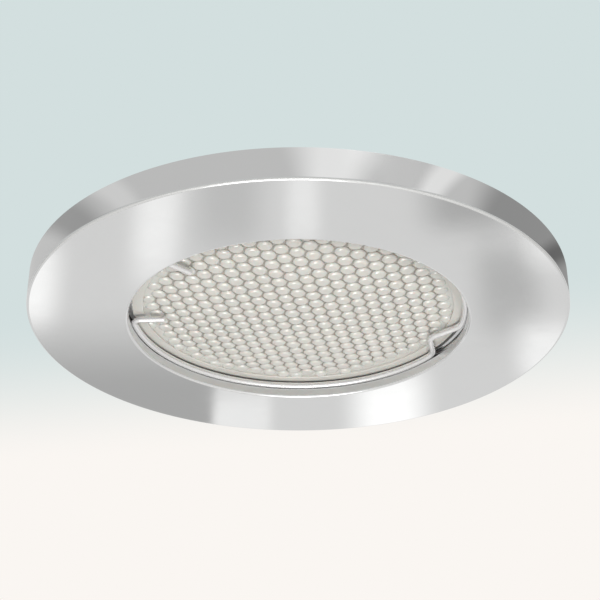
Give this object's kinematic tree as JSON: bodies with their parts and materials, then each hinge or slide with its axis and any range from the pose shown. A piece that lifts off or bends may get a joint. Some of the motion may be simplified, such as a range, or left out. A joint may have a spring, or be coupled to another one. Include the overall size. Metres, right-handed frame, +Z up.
{
  "type": "soffit downlight",
  "caption": "Round recessed soffit downlight: chrome bezel, wire-retained push-in lamp with a cell-patterned lens, vented can, sprung soffit clips and a hinged terminal box.",
  "frame": {"origin": "centre of the soffit cut-out, in the plane of the bezel's back, where it bears on the soffit", "axes": "+Z up into the soffit along the light's axis, +X towards the right-hand clip, +Y towards the cable entry"},
  "size_m": [0.1188, 0.081, 0.0923],
  "materials": {
    "polished_chrome": "polished chrome plating on a die-cast ring",
    "foam_rubber": "closed-cell foam",
    "spring_wire": "bright drawn spring wire",
    "galvanised_sheet": "zinc-coated deep-drawn sheet",
    "zinc_screw": "zinc-plated",
    "lens_plastic": "moulded translucent lens, cream white",
    "lamp_aluminium": "die-cast, bead-blasted",
    "board_white": "white solder mask",
    "phosphor": "yellow phosphor gel",
    "brass": "plain brass",
    "board_green": "green solder mask",
    "component_black": "moulded epoxy",
    "base_plastic": "moulded heat-proof plastic",
    "contact_steel": "nickel-plated",
    "steatite": "unglazed steatite ceramic",
    "lead_brown": "silicone insulation",
    "lead_blue": "silicone insulation",
    "glass_braid": "woven glass-fibre sleeve",
    "black_rubber": "moulded rubber",
    "box_plastic": "moulded, fine texture",
    "block_plastic": "moulded nylon",
    "rivet_aluminium": "blind rivet",
    "foot_rubber": "moulded soft rubber",
    "music_wire": "drawn music wire"
  },
  "bodies": {
    "housing": {"bezel": "polished_chrome", "soffit_gasket": "foam_rubber", "can": "galvanised_sheet", "can_screws": "zinc_screw", "lampholder": "steatite", "lampholder_contacts": "brass", "lampholder_screws": "zinc_screw", "holder_bracket": "galvanised_sheet", "frame_screws": "zinc_screw", "lead_brown": "lead_brown", "lead_blue": "lead_blue", "lead_sleeve": "glass_braid", "lead_grommet": "black_rubber", "terminal_base": "box_plastic", "cover_hinge_pin": "contact_steel", "terminal_block": "block_plastic", "terminal_clamps": "brass", "terminal_screws": "zinc_screw", "block_screw": "zinc_screw", "cable_clamp": "box_plastic", "clamp_screws": "zinc_screw", "cable_grommet": "black_rubber", "clip_bracket_left": "galvanised_sheet", "clip_bracket_right": "galvanised_sheet", "clip_rivets": "rivet_aluminium", "clip_pin_left": "contact_steel", "clip_pin_right": "contact_steel", "clip_spring_left": "music_wire", "clip_spring_right": "music_wire"},
    "lamp": {"lamp_lens": "lens_plastic", "lamp_shell": "lamp_aluminium", "lamp_led_board": "board_white", "lamp_leds": "phosphor", "lamp_link_pins": "brass", "lamp_driver_board": "board_green", "lamp_driver_parts": "component_black", "lamp_base": "base_plastic", "lamp_pins": "contact_steel"},
    "ring": {"retaining_ring": "spring_wire"},
    "cover": {"terminal_cover": "box_plastic"},
    "clip_left": {"clip_arm_left": "galvanised_sheet", "clip_foot_left": "foot_rubber"},
    "clip_right": {"clip_arm_right": "galvanised_sheet", "clip_foot_right": "foot_rubber"}
  },
  "joints": [
    {"name": "lamp_pull", "type": "slide", "parent": "housing", "child": "lamp", "axis": [0, 0, -1], "range_m": [0, 0.06]},
    {"name": "ring_pull", "type": "slide", "parent": "lamp", "child": "ring", "axis": [0, 0, -1], "range_m": [0, 0.03], "deforming": ["retaining_ring"]},
    {"name": "cover_open", "type": "hinge", "parent": "housing", "child": "cover", "pos_m": [-0.025, 0, 0.0855], "axis": [0, -1, 0], "range_deg": [0, 110]},
    {"name": "clip_left_fold", "type": "hinge", "parent": "housing", "child": "clip_left", "pos_m": [-0.0325, 0, 0.018], "axis": [0, 1, 0], "range_deg": [0, 113], "stiffness_Nm_per_rad": 0.05, "springref_deg": -57.3, "deforming": ["clip_spring_left"]},
    {"name": "clip_right_fold", "type": "hinge", "parent": "housing", "child": "clip_right", "pos_m": [0.0325, 0, 0.018], "axis": [0, -1, 0], "range_deg": [0, 113], "stiffness_Nm_per_rad": 0.05, "springref_deg": -57.3, "deforming": ["clip_spring_right"]}
  ]
}
